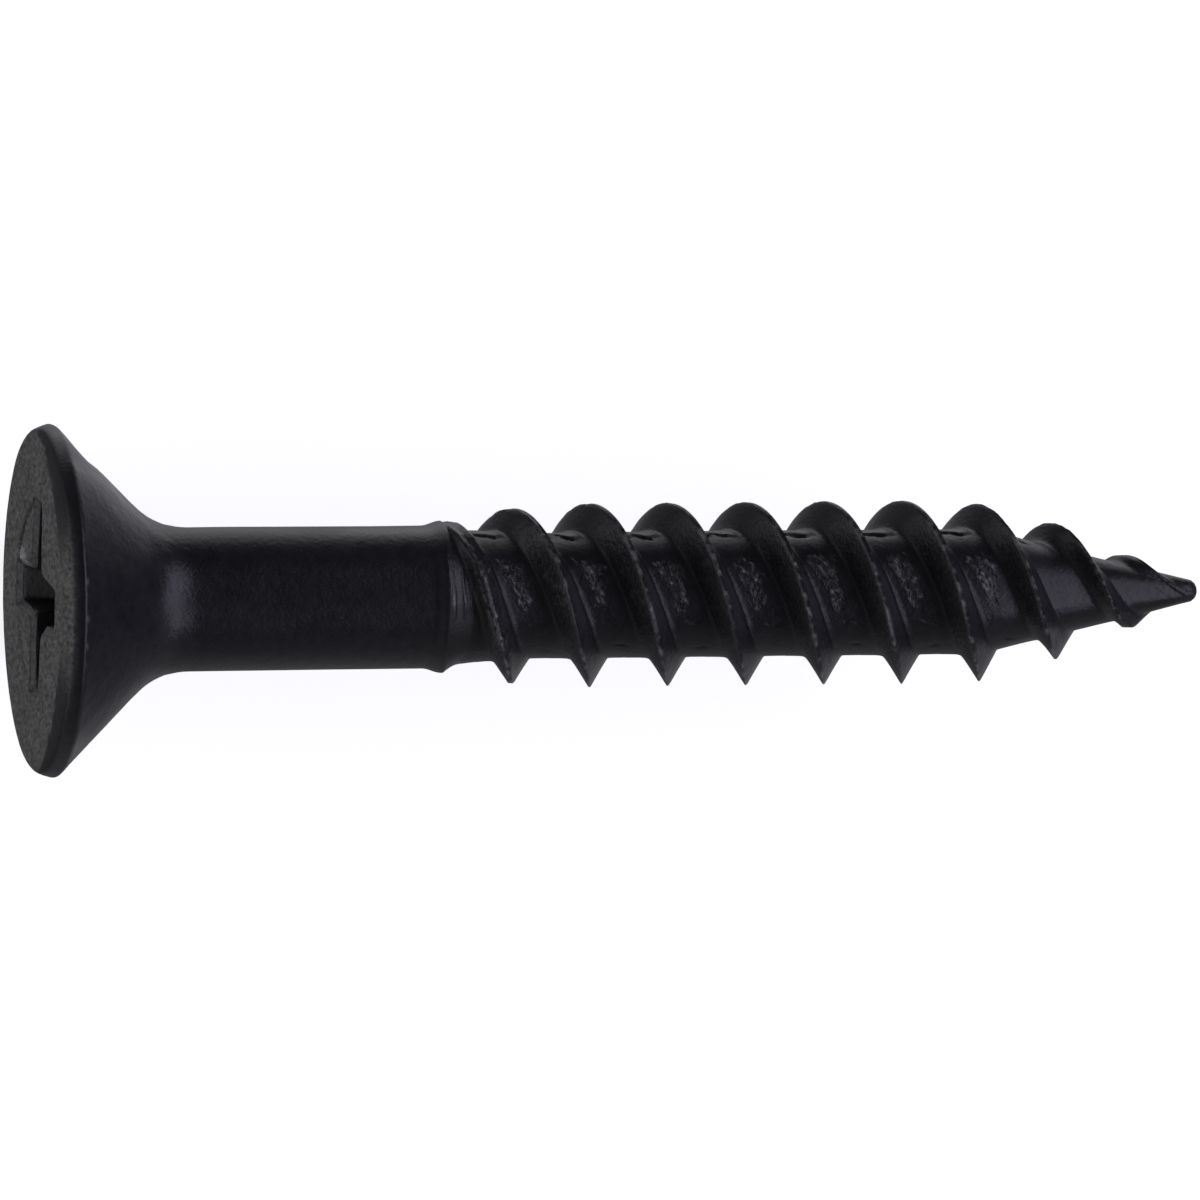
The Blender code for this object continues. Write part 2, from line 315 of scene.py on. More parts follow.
def crack_marks(spot):
    """A lap with a crack along it on the +Y side of the root, and short cracks on the near side, with
    painted shade along the cracks.
    """
    after, angle, wander = spot.after, spot.angle, spot.wander
    lap = window(after, 0.62, 1.45, 0.16) * window(angle, 11 + 3 * wander, 22 + 3 * wander, 3.5)
    crack = hump(angle - 23.5 - 5.0 * wander - 3.0 * (after - 1.0), 1.1) * window(after, 0.6, 1.15, 0.12)
    low = hump(angle - 118 - 9 * wander, 1.2) * window(after, 1.0, 1.40, 0.06)
    low = low * smoothstep(-0.30, 0.0, spot.own)
    side = hump(angle - 147 - 7 * wander, 1.3) * window(after, 0.95, 1.20, 0.06)
    short = (low + side) * spot.full
    out = (LAP_HEIGHT * lap - CRACK_DEPTH * crack) * spot.full - SHORT_CRACK_DEPTH * short
    # painted shade along the cracks
    soot = crack * spot.full + np.clip(short, 0, 1) ** 0.4
    return out, 0, 0, soot


def ridge_marks(spot):
    """Nicked crests, scaly flanks, the rough first ridge, the line of a seam at a flank's foot, worn
    steel and painted highlights on crests and seams, and painted shade at the flanks' feet.
    """
    x, offset, angle = spot.x, spot.offset, spot.angle
    seam = hump(spot.after - 0.50 - 0.03 * spot.wander, 0.032) * window(angle, 88, 138, 14) * spot.full
    crest = hump(offset, 0.045) * smoothstep(11.0, 11.4, x) * (1 - smoothstep(29.0, 29.8, x))
    nicks = noise(spot.space, 0.16, 21) + 0.7 * noise(spot.space, 0.07, 22)
    scaly = window(offset, -0.36, -0.03, 0.08) * window(angle, 36, 92, 18)
    scaly = scaly * smoothstep(11.4, 12.2, x) * (1 - 0.8 * smoothstep(13.5, 19.0, x))
    scales = noise(spot.space, 0.13, 31) + 0.5 * noise(spot.space, 0.07, 32)
    first = window(x, 10.95, 12.5, 0.25) * smoothstep(0.42, 0.25, np.abs(offset))
    flank = window(np.abs(offset), 0.06, 0.42, 0.06) * smoothstep(11.2, 12.0, x)

    out = SEAM_HEIGHT * seam + NICK_DEPTH * crest * (nicks - 1)
    out += SCALE_HEIGHT * scaly * (scales - 0.3) + FIRST_RIDGE_ROUGHNESS * first * (nicks - 0.4)
    torn = 0.40 * flank + 0.4 * first + 0.22 * scaly
    # light steel on the crests, more on the near side, is worn metal with a painted highlight; on the
    # seam it is a painted highlight
    bare = 0.55 * crest * smoothstep(-0.2, 0.8, nicks) * (0.3 + 0.7 * window(angle, 50, 150, 20))
    bare += 0.14 * seam * smoothstep(-0.1, 0.6, nicks) + 0.10 * scaly * smoothstep(0.1, 0.9, scales)
    # painted shade at the flanks' feet, on the near side
    soot = 0.55 * window(spot.after, 0.38, 0.50, 0.03) * window(angle, 55, 140, 15) * spot.full
    soot += 0.6 * window(offset, -0.53, -0.42, 0.03) * window(angle, 62, 140, 15) * spot.full
    return out, torn, bare, soot


def neck_marks(spot):
    """Fine scratches on the slope behind the collar, lighter where they face up as worn steel with a
    painted highlight, and painted shade on the slope's lower side beside them.
    """
    x, angle, aside = spot.x, spot.angle, np.abs(spot.offset)
    neck = window(x, 10.72, 11.30, 0.05) * window(angle, 62, 106, 8) * smoothstep(0.38, 0.46, aside)
    scratch = noise(np.stack([x * 6.0, spot.theta * 0.7, x * 0], -1), 0.30, 41)
    torn = 0.5 * neck * (0.7 + 0.6 * scratch)
    # light steel in the scratches where they face up: worn metal with a painted highlight
    bare = 0.35 * neck * smoothstep(0.1, 0.8, scratch) * window(angle, 84, 104, 6)
    # painted shade on the lower side of the slope
    neck_painted_shade = window(x, 10.72, 11.9, 0.05) * window(angle, 102, 140, 10) * smoothstep(0.36, 0.44, aside)
    return SCRATCH_DEPTH * neck * scratch, torn, bare, 0.85 * neck_painted_shade


def thread_marks(x, even_x, offset, theta):
    """Radial displacement and the masks of torn metal, of worn steel with painted highlights, and of
    painted shade, for shank and thread.
    """
    spot = thread_spot(x, even_x, offset, theta)
    kinds = [torn_marks(spot), crack_marks(spot), ridge_marks(spot), neck_marks(spot)]
    out, torn, bare, soot = (sum(parts) for parts in zip(*kinds))
    out = out + SHANK_WAVE * noise(spot.space, 1.3, 51) * smoothstep(4.0, 5.0, x)
    return out, np.clip(torn, 0, 1), np.clip(bare, 0, 1), np.clip(soot, 0, 1)


def recess_marks(flat, wander, grain):
    """The sunk and cracked metal on the far side of the recess, with painted shade in the crack, and the
    burr at its edge, made light as a painted highlight.
    """
    from_y, from_z = flat[..., 1] - RECESS_Y, flat[..., 2] - RECESS_Z
    reach = np.hypot(from_y, from_z)
    angle = np.degrees(np.arctan2(from_z, from_y) - RECESS_TURN) % 360
    plus_y, minus_y = window(angle, 282, 354, 6), window(angle, 194, 262, 8)
    circle = PATCH_R + 0.05 * wander
    inside = smoothstep(circle + 0.02, circle - 0.10, reach)
    crack = hump(reach - circle, 0.045)
    burr = hump(angle - 287 - 3 * wander, 8.0) * window(reach, 1.15, 2.35, 0.1)
    sunk = plus_y * (PLUS_Y_SINK * inside + PLUS_Y_CRACK * crack)
    sunk = sunk + minus_y * (MINUS_Y_SINK * inside + MINUS_Y_CRACK * crack)
    # the burr is made light, a painted highlight
    bare = np.clip(burr * (1.3 + 0.5 * grain), 0, 1)
    # painted shade in the crack
    soot = np.clip(crack * (plus_y + 0.4 * minus_y), 0, 1)
    return sunk * (1 - 0.8 * burr), bare, soot


def rolled_edge(flat, wander):
    """How far the face's near edge falls away, and where that edge is darkened with painted shade,
    everywhere but the middle of its near side.
    """
    degrees = np.degrees(np.arctan2(flat[..., 2], flat[..., 1])) % 360
    begins = 3.32 + 0.80 * ((degrees - 93) / 75) ** 2
    past = np.hypot(flat[..., 1], flat[..., 2]) - begins
    falls = ROLL_DEPTH * np.clip(past / (HEAD_R - begins), 0, 1) ** 2 * (begins < HEAD_R - 0.2)
    # the edge is painted dark, a painted shade, except in the middle of its near side
    grey = smoothstep(50, 80, degrees) * (1 - 0.95 * smoothstep(104, 136, degrees))
    return falls, smoothstep(-0.05, 0.10, past + 0.06 * wander) * (1 - grey)


def face_marks(y, z):
    """How far the face is sunk at a point of the head, and its masks: grain, which gives way where the
    edge is painted dark, the burr's painted highlight, and painted shade.
    """
    flat = np.stack([y * 0, y, z], -1)
    wander = noise(flat, 0.5, 61)
    grain = noise(flat, 0.11, 62) + 0.6 * noise(flat, 0.30, 63)
    sunk, bare, soot = recess_marks(flat, wander, grain)
    falls, dark = rolled_edge(flat, wander)
    within = smoothstep(HEAD_R - 0.02, HEAD_R - 0.4, np.hypot(y, z))
    sunk = sunk + FACE_GRAIN * (1.6 + grain) * within + falls
    # grain gives way to painted shade on the rolled edge
    return sunk, 1 - dark, bare, np.maximum(soot, 0.7 * dark)


# === The piece's mesh ======================================================================

class Surface:
    """Collects the vertices, masks and faces of one closed mesh, in millimetres from the face."""

    def __init__(self):
        self.points = []
        self.masks = []
        self.faces = []
        self.count = 0

    # the masks: grain, torn metal, light steel for wear and painted highlights, and painted shade
    def add(self, points, grain=0.0, torn=0.0, bare=0.0, soot=0.0):
        """Adds points with their masks and returns their numbers."""
        points = np.asarray(points, float).reshape(-1, 3)
        masks = [np.broadcast_to(mask, len(points)) for mask in (grain, torn, bare, soot)]
        self.points.append(points)
        self.masks.append(np.stack(masks, 1))
        numbers = np.arange(self.count, self.count + len(points))
        self.count += len(points)
        return numbers

    def join(self, first, second):
        """Quads between two rows, in the order from the recess out over the head to the point."""
        a, b = first, np.roll(first, -1)
        c, d = np.roll(second, -1), second
        self.faces += np.stack([a, b, c, d], 1).tolist()

    def fan(self, row, centre, facing_head):
        """Triangles between a row and one point."""
        a, b = row, np.roll(row, -1)
        middle = np.full_like(a, centre)
        order = [middle, b, a] if facing_head else [middle, a, b]
        self.faces += np.stack(order, 1).tolist()

    def read(self, row):
        """The points of a row."""
        return np.vstack(self.points)[row]


def around(x, radius):
    """Points round the axis, at one x and radius or one for each column."""
    x = np.broadcast_to(x, COLUMNS)
    return np.stack([x, radius * np.cos(THETA), radius * np.sin(THETA)], 1)


def cross_outline(span, half_width, corner):
    """The recess's cross: one point for each column, evenly along it, in (y, z)."""
    bevel = min(0.10, half_width * 0.4)
    outline = []
    for turns, share in enumerate(CORNER_SHARES):
        inner = max(corner * share, half_width * 1.08)
        quarter = [(span, 0.0), (span, half_width - bevel), (span - bevel, half_width),
                   (inner * 1.12, inner * 0.93), (inner * 0.93, inner * 1.12),
                   (half_width, span - bevel), (half_width - bevel, span)]
        for _ in range(turns):
            quarter = [(-q, p) for p, q in quarter]
        outline += quarter
    outline = np.array(outline + outline[:1])
    run = np.concatenate([[0], np.cumsum(np.linalg.norm(np.diff(outline, axis=0), axis=1))])
    at = run[-1] * (THETA - RECESS_TURN) / (2 * np.pi)
    p, q = np.interp(at, run, outline[:, 0]), np.interp(at, run, outline[:, 1])
    cos, sin = math.cos(RECESS_TURN), math.sin(RECESS_TURN)
    return np.stack([RECESS_Y + p * cos - q * sin, RECESS_Z + p * sin + q * cos], 1)


def recess_points(depth, outline):
    """Points of an outline in (y, z), at one depth behind the face or one for each column."""
    return np.column_stack([np.full(COLUMNS, depth), outline])


def build_recess(surface):
    """Rows from the pit's bottom up to the foot of the recess's lip, and then over the lip."""
    # the pit and the lower walls carry painted shade, more the deeper they lie
    pit = surface.add([[RECESS_PIT_DEPTH, RECESS_Y, RECESS_Z]], soot=1.0)[0]
    small = recess_points(RECESS_PIT_DEPTH - 0.08, cross_outline(0.36, 0.30, 0.26))
    last = surface.add(small, soot=1.0)
    surface.fan(last, pit, True)
    for share in (1.0, 0.9, 0.75, 0.6, 0.45, 0.3, 0.18, 0.1, 0.04, 0.0):
        depth = RECESS_LIP + (RECESS_DEPTH - RECESS_LIP) * share
        span = RECESS_SPAN_R + (RECESS_FLOOR_R - RECESS_SPAN_R) * share
        width = RECESS_END_W + (RECESS_FLOOR_W - RECESS_END_W) * share
        corner = RECESS_CORNER + (RECESS_FLOOR_CORNER - RECESS_CORNER) * share
        wall = recess_points(depth, cross_outline(span, width / 2, corner))
        row = surface.add(wall, grain=0.12, torn=0.3 * (1 - share), soot=min(1.0, 0.55 + 5 * share))
        surface.join(last, row)
        last = row
    for depth, out in ((0.165, 0.03), (0.125, 0.075), (0.08, 0.125), (0.04, 0.165), (0.012, 0.185)):
        # the pressed edge, a rounding that opens by "out" as it comes up to the face
        outline = cross_outline(RECESS_SPAN_R + out, RECESS_END_W / 2 + out, RECESS_CORNER + out)
        rough = LIP_ROUGHNESS * noise(recess_points(depth, outline), 0.14, 71)
        sunk, _, bare, _ = face_marks(outline[:, 0], outline[:, 1])
        share = 1 - depth / RECESS_LIP
        points = recess_points(depth + np.maximum(rough, -depth) + sunk * share, outline)
        # a line of painted shade along the top of the lip
        lip_painted_shade = 0.6 * smoothstep(0.03, 0.012, depth) * (1 - bare)
        row = surface.add(points, grain=1.0, torn=0.5, bare=bare * share, soot=lip_painted_shade)
        surface.join(last, row)
        last = row
    return last


def build_face(surface, last):
    """The flat of the head, from the edge of the recess out to where it starts to round."""
    edge = surface.read(last)[:, 1:]
    outer = around(0.0, FACE_FLAT_R)[:, 1:]
    shares = np.concatenate([np.linspace(0.015, 0.60, 22), np.linspace(0.66, 1.0, 7)])
    for share in shares:
        flat = edge + (outer - edge) * share
        sunk, skin, bare, soot = face_marks(flat[:, 0], flat[:, 1])
        row = surface.add(recess_points(sunk, flat), grain=skin, bare=bare, soot=soot)
        surface.join(last, row)
        last = row
    return last


def head_outline():
    """(x, r, grain) from the level face over the rim, the cone and the fillet to the shank."""
    # (x, how far the radius is below the head's, grain) over the rounded rim
    drops = [(0.003, 0.66, 1.0), (0.008, 0.49, 1.0), (0.016, 0.35, 1.0), (0.026, 0.24, 1.0),
             (0.045, 0.16, 1.0), (0.075, 0.12, 0.9), (0.11, 0.095, 0.6), (0.16, 0.07, 0.25),
             (0.22, 0.045, 0.1), (0.30, 0.02, 0.0), (0.35, 0.006, 0.0), (0.39, 0.0, 0.0),
             (0.43, 0.012, 0.0), (0.47, 0.036, 0.0), (0.51, 0.070, 0.0), (0.56, 0.122, 0.0)]
    points = [(x, HEAD_R - drop, grain) for x, drop, grain in drops]
    cone_end = CONE_X + HEAD_R - SHANK_R
    reach = FILLET_R * math.tan(CONE_ANGLE / 2)
    fillet_x = cone_end - reach * math.cos(CONE_ANGLE)
    for x in np.linspace(CONE_START_X, fillet_x, 9, endpoint=False):
        points.append((x, HEAD_R - (x - CONE_X), 0.0))
    for angle in np.linspace(CONE_ANGLE, 0, 11):
        x = cone_end + reach - FILLET_R * math.sin(angle)
        points.append((x, SHANK_R + SHANK_SWELL + FILLET_R * (1 - math.cos(angle)), 0.0))
    return points


def build_head(surface, last):
    """The rim, cone and fillet, in rows round the axis; returns the last row and its x."""
    degrees = np.degrees(THETA)
    far_side = smoothstep(0.0, 0.6, -np.sin(THETA))
    # a painted highlight along the edge between rim and cone, on the near side, broken up by noise
    rim_edge_highlight = smoothstep(0.1, 0.9, noise(around(0.5, 4.6), 0.25, 83)) * window(degrees, 74, 106, 12)
    for x, r, grain in head_outline():
        sharp = 0.75 * far_side * (x < 0.12)
        points = around(x, r + (HEAD_R - 0.03 - r) * sharp)
        dents = HEAD_WAVE * noise(points, 0.45, 81) + HEAD_PITTING * noise(points, 0.15, 82)
        inward = np.maximum(dents, 0) * window(x, 0.02, 0.50, 0.03)
        inward = inward + (CONE_INSET + dents) * window(x, 0.6, 3.4, 0.2)
        dent = window(x, 1.00, 1.30, 0.30) * window((degrees + 180) % 360, 160, 205, 14)
        scale = 1 - (inward + CONE_DENT * dent) / r
        points[:, 1:] *= scale[:, None]
        sunk, skin, _, soot = face_marks(points[:, 1], points[:, 2])
        points[:, 0] += sunk * max(0.0, 1 - x / RIM_EASE)
        bare = 0.30 * hump(x - RIM_EDGE_X, 0.04) * rim_edge_highlight
        # the face's painted shade carries on over the rounding of the rim
        row = surface.add(points, grain=grain * skin, bare=bare, soot=soot * grain)
        surface.join(last, row)
        last = row
    return last, x


def build_shank(surface, last, x_from):
    """The plain shank, the collar and the first bit of the thread, in rows round the axis."""
    places = np.concatenate([np.linspace(x_from, COLLAR_START_X, 15)[1:-1],
                             np.linspace(COLLAR_START_X, FINE_ROWS_X, 8, endpoint=False),
                             np.linspace(FINE_ROWS_X, HELIX_START_X, 21)])
    for x in places:
        place = np.full(COLUMNS, x)
        even_x = even_place(place)
        offset = crest_offset(even_x, THETA)
        radius = body_radius(place, offset, THETA)
        out, torn, bare, soot = thread_marks(place, even_x, offset, THETA)
        row = surface.add(around(x, radius + out), torn=torn, bare=bare, soot=soot)
        surface.join(last, row)
        last = row
    return last


def even_place(x):
    """Undoes start_shift: where a place on the screw lies on the even thread."""
    even = np.array(x, float)
    for _ in range(30):
        even = x - start_shift(even)
    return even


def pitch_offsets():
    """Places of the rows across one pitch from a crest: close on the flanks, even in the root."""
    flank = np.array(FLANK_OFFSETS)
    root = np.linspace(flank[-1], PITCH / 2, ROOT_ROWS + 1)[1:]
    half = np.concatenate([flank, root])
    return np.concatenate([half, PITCH - half[1:-1][::-1]])


def build_thread(surface, first_row):
    """Rows that follow the thread, cut off by a plain row at each end."""
    offsets = pitch_offsets()
    per_lead = STARTS * len(offsets)
    begin = CREST_AT_TOP_X - 2 * LEAD
    crests = begin + PITCH * np.arange(int((LENGTH + 4 * LEAD) / PITCH))
    base = (crests[:, None] + offsets[None, :]).ravel()
    even = base[:, None] + LEAD * THETA[None, :] / (2 * np.pi)
    x = even + start_shift(even)
    gap = 0.012
    row_i, col_i = np.nonzero((x > HELIX_START_X + gap) & (x < HELIX_END_X - gap))
    at, even_at, angle = x[row_i, col_i], even[row_i, col_i], THETA[col_i]
    offset = crest_offset(even_at, angle)
    out, torn, bare, soot = thread_marks(at, even_at, offset, angle)
    radius = body_radius(at, offset, angle) + out
    points = np.stack([at, radius * np.cos(angle), radius * np.sin(angle)], 1)
    made = surface.add(points, torn=torn, bare=bare, soot=soot)
    end = np.full(COLUMNS, HELIX_END_X)
    end_radius = threaded_radius(end, crest_offset(end, THETA), THETA)
    last_row = surface.add(around(HELIX_END_X, end_radius))
    number = np.where(x <= HELIX_START_X + gap, first_row[None, :], last_row[None, :])
    number[row_i, col_i] = made
    wrapped = np.concatenate([number[per_lead:, :1], np.repeat(last_row[:1, None], per_lead, 0)])
    number = np.concatenate([number, wrapped], 1)
    a, b = number[:-1, :-1], number[:-1, 1:]
    c, d = number[1:, 1:], number[1:, :-1]
    for quad in np.stack([a, b, c, d], -1).reshape(-1, 4).tolist():
        corners = [quad[i] for i in range(4) if quad[i] != quad[i - 1]]
        if len(corners) > 2 and len(set(corners)) == len(corners):
            surface.faces.append(corners)
    return last_row


def build_tip(surface, last):
    """The blunt end of the point."""
    round_x = LENGTH - HELIX_END_X
    edge = surface.read(last)
    for share in (0.35, 0.62, 0.8, 0.92):
        angle = share * math.pi / 2
        shrink = math.cos(angle) ** 0.8
        x = np.full(COLUMNS, HELIX_END_X + round_x * math.sin(angle))
        row = surface.add(np.column_stack([x, edge[:, 1] * shrink, edge[:, 2] * shrink]))
        surface.join(last, row)
        last = row
    end = surface.add([[LENGTH, 0.0, 0.0]])[0]
    surface.fan(last, end, False)


def screw_piece():
    """The whole screw as one closed mesh, with its masks as attributes of the points."""
    surface = Surface()
    last = build_recess(surface)
    last = build_face(surface, last)
    last, x = build_head(surface, last)
    last = build_shank(surface, last, x)
    last = build_thread(surface, last)
    build_tip(surface, last)
    points = np.vstack(surface.points)
    masks = np.vstack(surface.masks)
    points[:, 1] += BEND_Y * smoothstep(BEND_START_X, BEND_END_X, points[:, 0])
    points[:, 0] += FACE_X / MM
    mesh = bpy.data.meshes.new("screw_body")
    mesh.from_pydata((points * MM).tolist(), [], surface.faces)
    for place, name in enumerate(("grain", "torn", "bare", "soot")):
        layer = mesh.attributes.new(name, "FLOAT", "POINT")
        layer.data.foreach_set("value", masks[:, place].astype(np.float32))
    mesh.shade_smooth()
    mesh.set_sharp_from_angle(angle=math.radians(40))
    piece = bpy.data.objects.new("screw_body", mesh)
    bpy.context.scene.collection.objects.link(piece)
    return piece


# === Material ==============================================================================

BODY_DARK, BODY_LIGHT = (0.0105, 0.0100, 0.0135), (0.0215, 0.0205, 0.027)
FACE_DARK, FACE_LIGHT = (0.040, 0.040, 0.039), (0.235, 0.235, 0.226)
TORN_DARK, TORN_LIGHT = (0.012, 0.012, 0.014), (0.060, 0.060, 0.066)
# light steel: worn metal, and painted highlights on crests, seams, fold tops, the rim's edge and the
# burr
BARE_AND_HIGHLIGHT_DARK, BARE_AND_HIGHLIGHT_LIGHT = (0.18, 0.18, 0.185), (0.72, 0.72, 0.73)
# near-black painted shade, in cracks, fold hollows, the recess, the flanks' feet and shaded bands
PAINTED_SHADE_COLOUR = (0.004, 0.004, 0.005, 1)
TORN_ROUGHNESS, PAINTED_SHADE_ROUGHNESS = 0.34, 0.50
BARE_AND_HIGHLIGHT_METALLIC = 0.8
BUMP_DISTANCE = 0.020 * MM


def steel_material():
    """Blackened steel: a dark satin skin, a grainier face, torn places, rubbed steel with painted
    highlights, and painted shade.
    """
    material = bpy.data.materials.new("blackened_steel_fine")
    material.use_nodes = True
    tree = material.node_tree
    shader = tree.nodes["Principled BSDF"]
    place = tree.nodes.new("ShaderNodeTexCoord").outputs["Object"]
    mask = {name: attribute(tree, name) for name in ("grain", "torn", "bare", "soot")}

    speck = texture_noise(tree, place, (1, 1, 0.45), size=0.110, detail=4.0)
    patch = texture_noise(tree, place, (1, 1, 1), size=0.30, detail=4.0)
    cloud = texture_noise(tree, place, (0.35, 1, 1), size=1.10, detail=3.0)
    crumb = texture_noise(tree, place, (1.0, 0.5, 0.7), size=0.070, detail=2.0)

    body = colour_ramp(tree, patch, 0.30, 0.70, BODY_DARK, BODY_LIGHT)
    face = colour_ramp(tree, speck, 0.30, 0.70, FACE_DARK, FACE_LIGHT)
    torn = colour_ramp(tree, crumb, 0.35, 0.72, TORN_DARK, TORN_LIGHT)
    steel = colour_ramp(tree, speck, 0.25, 0.75, BARE_AND_HIGHLIGHT_DARK, BARE_AND_HIGHLIGHT_LIGHT)
    colour = mix_colour(tree, mask["grain"], body, face)
    colour = mix_colour(tree, mask["torn"], colour, torn)
    # mix in light steel: worn metal and painted highlights
    colour = mix_colour(tree, mask["bare"], colour, steel)
    # mix in the painted shade
    colour = mix_colour(tree, mask["soot"], colour, PAINTED_SHADE_COLOUR)
    tree.links.new(colour, shader.inputs["Base Color"])

    satin = smooth_range(tree, cloud, 0.3, 0.7, 0.32, 0.42)
    coarse = smooth_range(tree, speck, 0.3, 0.7, 0.48, 0.62)
    rough = mix_value(tree, mask["grain"], satin, coarse)
    rough = mix_value(tree, mask["torn"], rough, TORN_ROUGHNESS)
    rough = mix_value(tree, mask["soot"], rough, PAINTED_SHADE_ROUGHNESS)
    tree.links.new(rough, shader.inputs["Roughness"])
    # light steel on the grainy face is the burr's painted highlight, which scatters light and doesn't
    # mirror it
    scattered = arithmetic(tree, "MULTIPLY", mask["grain"], BARE_AND_HIGHLIGHT_METALLIC)
    mirrored = arithmetic(tree, "SUBTRACT", BARE_AND_HIGHLIGHT_METALLIC, scattered)
    metal = arithmetic(tree, "MULTIPLY", mask["bare"], mirrored)
    tree.links.new(metal, shader.inputs["Metallic"])
    shader.inputs["IOR"].default_value = 1.5

    height = arithmetic(tree, "MULTIPLY", patch, 0.55)
    fine = arithmetic(tree, "MULTIPLY", speck, mix_value(tree, mask["grain"], 0.55, 2.0))
    height = arithmetic(tree, "ADD", height, fine)
    crumbs = arithmetic(tree, "MULTIPLY", crumb, mask["torn"])
    height = arithmetic(tree, "ADD", height, arithmetic(tree, "MULTIPLY", crumbs, 1.2))
    bump = tree.nodes.new("ShaderNodeBump")
    bump.inputs["Strength"].default_value = 1.0
    bump.inputs["Distance"].default_value = BUMP_DISTANCE
    tree.links.new(height, bump.inputs["Height"])
    tree.links.new(bump.outputs["Normal"], shader.inputs["Normal"])
    return material


def attribute(tree, name):
    """The value of one of the mesh's masks."""
    node = tree.nodes.new("ShaderNodeAttribute")
    node.attribute_name = name
    return node.outputs["Fac"]


def texture_noise(tree, place, stretch, size, detail):
    """Noise with features of that size, in millimetres, divided along each axis by the stretch."""
    mapping = tree.nodes.new("ShaderNodeMapping")
    mapping.inputs["Scale"].default_value = stretch
    tree.links.new(place, mapping.inputs["Vector"])
    node = tree.nodes.new("ShaderNodeTexNoise")
    node.inputs["Scale"].default_value = 1 / (size * MM)
    node.inputs["Detail"].default_value = detail
    tree.links.new(mapping.outputs["Vector"], node.inputs["Vector"])
    return node.outputs["Fac"]


def colour_ramp(tree, source, low, high, dark, light):
    """A node that runs from a dark colour to a light one."""
    node = tree.nodes.new("ShaderNodeValToRGB")
    ends = node.color_ramp.elements
    ends[0].position, ends[1].position = low, high
    ends[0].color, ends[1].color = (*dark, 1), (*light, 1)
    tree.links.new(source, node.inputs["Fac"])
    return node.outputs["Color"]


def mix_node(tree, kind, share, first, second):
    """A mix of two inputs; each kind has its own sockets on the node: two in, one out."""
    node = tree.nodes.new("ShaderNodeMix")
    node.data_type = kind
    sockets = {"RGBA": (6, 7, 2), "FLOAT": (2, 3, 0)}[kind]
    tree.links.new(share, node.inputs[0])
    for place, value in zip(sockets, (first, second)):
        if isinstance(value, (int, float, tuple)):
            node.inputs[place].default_value = value
        else:
            tree.links.new(value, node.inputs[place])
    return node.outputs[sockets[2]]


def mix_colour(tree, share, first, second):
    return mix_node(tree, "RGBA", share, first, second)


def mix_value(tree, share, first, second):
    return mix_node(tree, "FLOAT", share, first, second)


# === Studio ================================================================================

# lengths in this part are in metres
CAMERA_TILT, CAMERA_ROLL = math.radians(12.7), math.radians(0.58)
CAMERA_DISTANCE = 0.5865
CAMERA_TARGET = Vector((-0.000525, -0.000125, 0.0))
CAMERA_LENS, CAMERA_SENSOR = 666.7, 36.0
CAMERA_CLIP = 0.01, 10.0

FLOOR_REACH = 1.5
FLOOR_GAP = 0.02 * MM
BACKDROP_R, BACKDROP_LOW, BACKDROP_HIGH, BACKDROP_SIDES = 0.9, -0.01, 0.14, 96
PAPER_COLOUR, PAPER_ROUGHNESS = (0.8, 0.8, 0.81, 1), 0.9
PAPER_GLOW, PAPER_GLOW_STRENGTH = (0.98, 0.98, 1.0, 1), 0.86

ROOM_COLOUR = (0.95, 0.94, 1.0, 1)
PANEL_LEAN = math.radians(50)            # from straight up, towards the point
PANEL_ALONG_Y, PANEL_ACROSS = 0.85, 0.30
PANEL_DISTANCE = 0.5
PANEL_RADIANCE, PANEL_COLOUR = 1.6, (0.84, 0.81, 1.0)


def add_camera():
    """Looks down on the screw from its head's side, through a long lens."""
    towards = Vector((-math.sin(CAMERA_TILT), 0, math.cos(CAMERA_TILT)))
    level = Vector((math.cos(CAMERA_TILT), 0, math.sin(CAMERA_TILT)))
    upright = towards.cross(level)
    up = upright * math.cos(CAMERA_ROLL) + level * math.sin(CAMERA_ROLL)
    right = level * math.cos(CAMERA_ROLL) - upright * math.sin(CAMERA_ROLL)
    data = bpy.data.cameras.new("camera")
    data.lens, data.sensor_width = CAMERA_LENS, CAMERA_SENSOR
    data.clip_start, data.clip_end = CAMERA_CLIP
    camera = bpy.data.objects.new("camera", data)
    turn = Matrix((right, up, towards)).transposed()
    place = Matrix.Translation(CAMERA_TARGET + towards * CAMERA_DISTANCE)
    camera.matrix_world = place @ turn.to_4x4()
    bpy.context.scene.collection.objects.link(camera)
    bpy.context.scene.camera = camera


def add_floor():
    """A level pale sheet just under the rim of the head."""
    reach, z = FLOOR_REACH, -HEAD_R * MM - FLOOR_GAP
    verts = [(-reach, -reach, z), (reach, -reach, z), (reach, reach, z), (-reach, reach, z)]
    stage_piece("studio_floor", verts, [(0, 1, 2, 3)])


def add_backdrop():
    """A low pale wall round the screw, so that the level views have a backdrop."""
    verts = []
    for i in range(BACKDROP_SIDES):
        angle = 2 * math.pi * i / BACKDROP_SIDES
        for z in (BACKDROP_LOW, BACKDROP_HIGH):
            verts.append((BACKDROP_R * math.cos(angle), BACKDROP_R * math.sin(angle), z))
    faces = []
    for i in range(BACKDROP_SIDES):
        a, b = 2 * i, 2 * ((i + 1) % BACKDROP_SIDES)
        faces.append((a, a + 1, b + 1, b))
    stage_piece("studio_backdrop", verts, faces).visible_shadow = False


